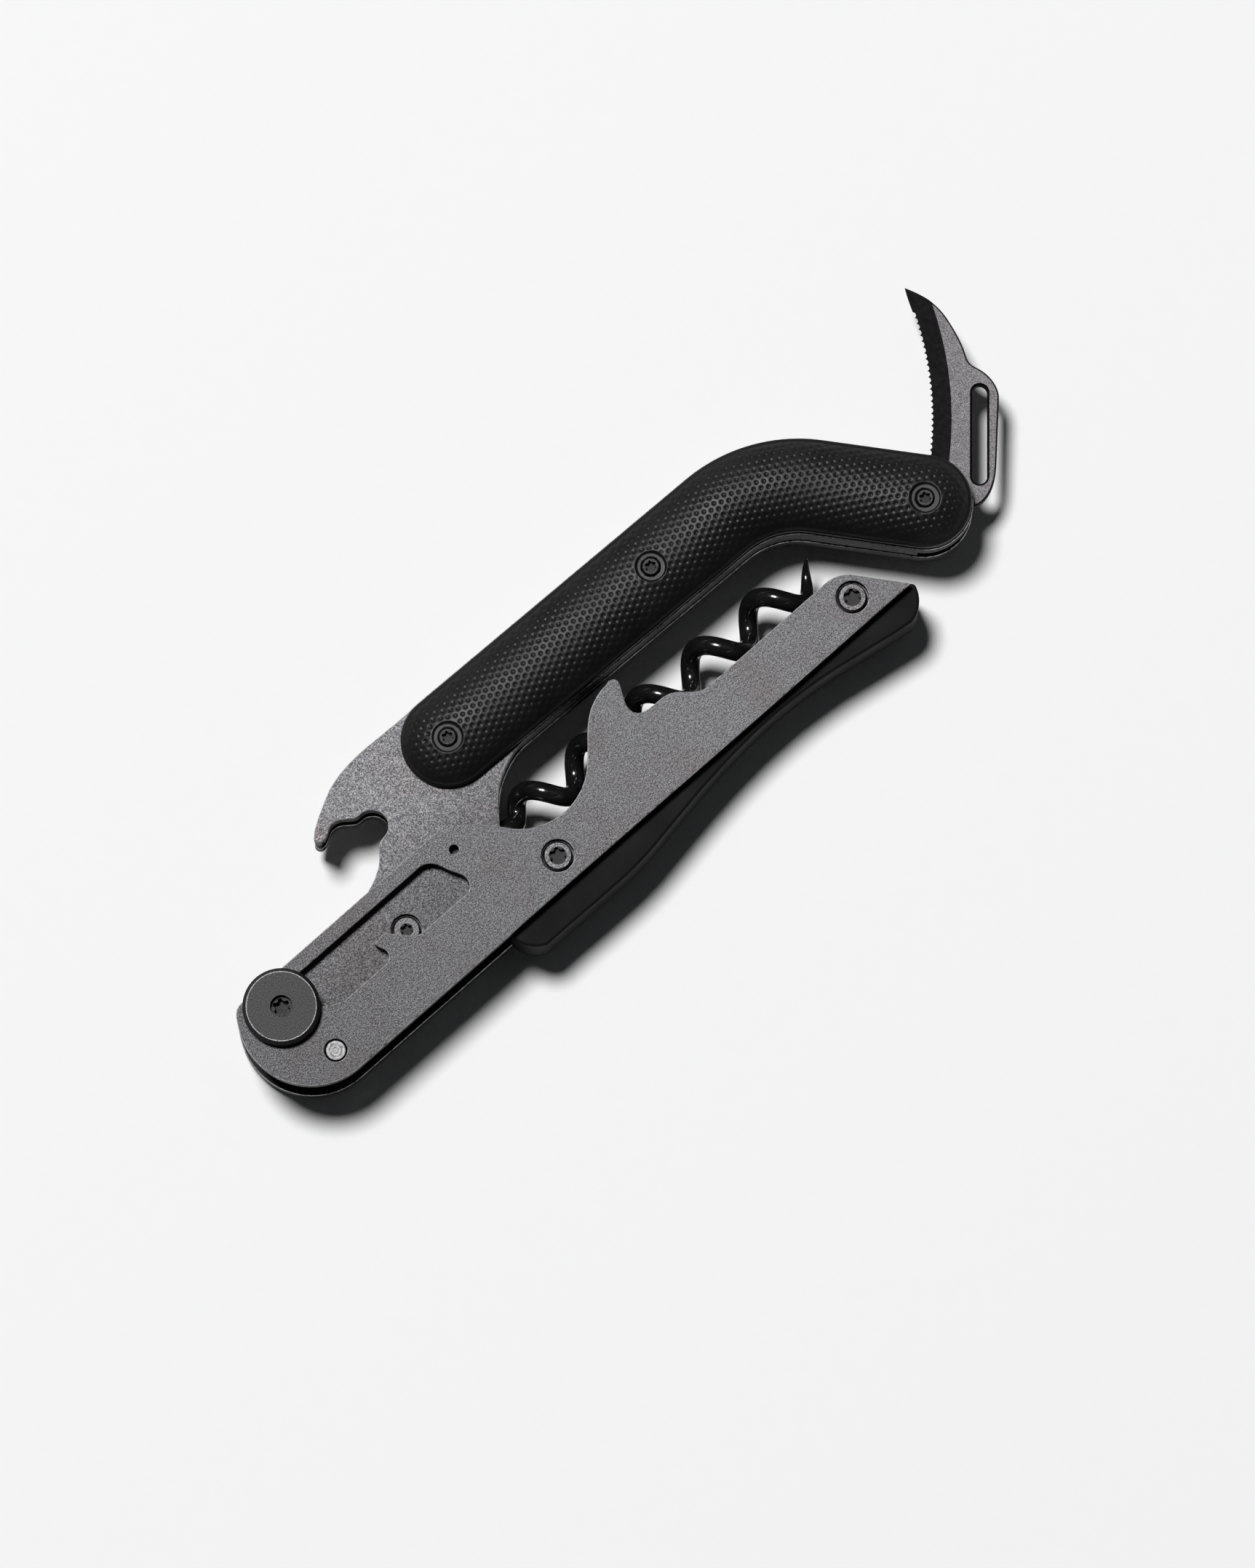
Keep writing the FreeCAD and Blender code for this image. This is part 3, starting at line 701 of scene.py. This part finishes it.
def make_worm_eye():
    """Eye the worm hinges on: a ring with rounded rims."""
    profile = [(EYE_HOLE_R, -EYE_HALF),
               (EYE_R - EYE_ROUND, -EYE_HALF),
               (EYE_R - EYE_ROUND_MIDDLE, -EYE_HALF + EYE_ROUND_MIDDLE),
               (EYE_R, -EYE_HALF + EYE_ROUND),
               (EYE_R, EYE_HALF - EYE_ROUND),
               (EYE_R - EYE_ROUND_MIDDLE, EYE_HALF - EYE_ROUND_MIDDLE),
               (EYE_R - EYE_ROUND, EYE_HALF),
               (EYE_HOLE_R, EYE_HALF)]
    mesh = bmesh.new()
    loops = []
    for k in range(EYE_SIDES):
        out = heading(360 * k / EYE_SIDES)
        loops.append([mesh.verts.new(WORM_PIVOT + out * radius + Vector((0, 0, height)))
                      for radius, height in profile])
    for k, loop in enumerate(loops):
        following = loops[(k + 1) % EYE_SIDES]
        for j in range(len(profile)):
            m = (j + 1) % len(profile)
            mesh.faces.new([loop[j], loop[m], following[m], following[j]])
    bmesh.ops.recalc_face_normals(mesh, faces=mesh.faces)
    eye = add_piece("worm_eye", mesh, "worm", WORM, "worm_black")
    eye.modifiers.new("flat faces", "EDGE_SPLIT").split_angle = math.radians(40)


# ---- studio ---------------------------------------------------------------------------------

PICTURE_UP = 48.341      # degrees round from +X to the top of the picture
CAMERA_AT = Vector((-199.6, -229.32, 1748.7)) * MM
CAMERA_TARGET = Vector((-6.94, -9.475, 14.1)) * MM
CAMERA_LENS = 363.275
FLOOR_HALF = 3.0         # metres
WORLD_COLOUR = (0.9, 0.93, 1.0, 1.0)
WORLD_STRENGTH = 0.02


def make_camera():
    """Looks down on the tool, leaning a little towards the lever's back."""
    data = bpy.data.cameras.new("camera")
    camera = bpy.data.objects.new("camera", data)
    bpy.context.scene.collection.objects.link(camera)
    camera.location = CAMERA_AT
    back = (camera.location - CAMERA_TARGET).normalized()
    right = heading(PICTURE_UP).cross(back).normalized()
    over = back.cross(right)
    matrix = camera.matrix_world.to_3x3()
    for row in range(3):
        matrix[row] = (right[row], over[row], back[row])
    camera.rotation_euler = matrix.to_euler()
    data.sensor_fit = "HORIZONTAL"
    data.sensor_width = 36.0
    data.lens = CAMERA_LENS
    data.clip_start = 0.01
    data.clip_end = 20.0
    bpy.context.scene.camera = camera


def make_floor():
    mesh = bmesh.new()
    bmesh.ops.create_grid(mesh, x_segments=4, y_segments=4, size=FLOOR_HALF)
    data = bpy.data.meshes.new("floor")
    mesh.to_mesh(data)
    mesh.free()
    floor = bpy.data.objects.new("floor", data)
    bpy.context.scene.collection.objects.link(floor)
    data.materials.append(PAPER)


def make_light(name, place, size, watts):
    """Round lamp turned towards the origin."""
    data = bpy.data.lights.new(name, "AREA")
    data.shape = "DISK"
    data.size = size
    data.energy = watts
    light = bpy.data.objects.new(name, data)
    bpy.context.scene.collection.objects.link(light)
    light.location = place
    light.rotation_euler = (-place).to_track_quat("-Z", "Y").to_euler()


def light_studio():
    """Key from the top left of the picture; a weak fill keeps the shadows dark."""
    right, over, up = heading(PICTURE_UP - 90), heading(PICTURE_UP), Vector((0, 0, 1))
    make_light("key", (-right * 0.23 + over * 0.26 + up) * 4.0, size=1.05, watts=193.0)
    make_light("fill", (right * 0.5 + over * 0.2 + up * 1.1) * 2.0, size=1.4, watts=0.5)
    world = bpy.data.worlds.new("studio")
    bpy.context.scene.world = world
    world.use_nodes = True
    background = world.node_tree.nodes["Background"]
    background.inputs["Color"].default_value = WORLD_COLOUR
    background.inputs["Strength"].default_value = WORLD_STRENGTH
    bpy.context.scene.view_settings.view_transform = "Standard"


dress_frame()
for side in SIDES:
    make_grip(side)
make_worm()
make_worm_eye()
make_blade()
make_floor()
make_camera()
light_studio()
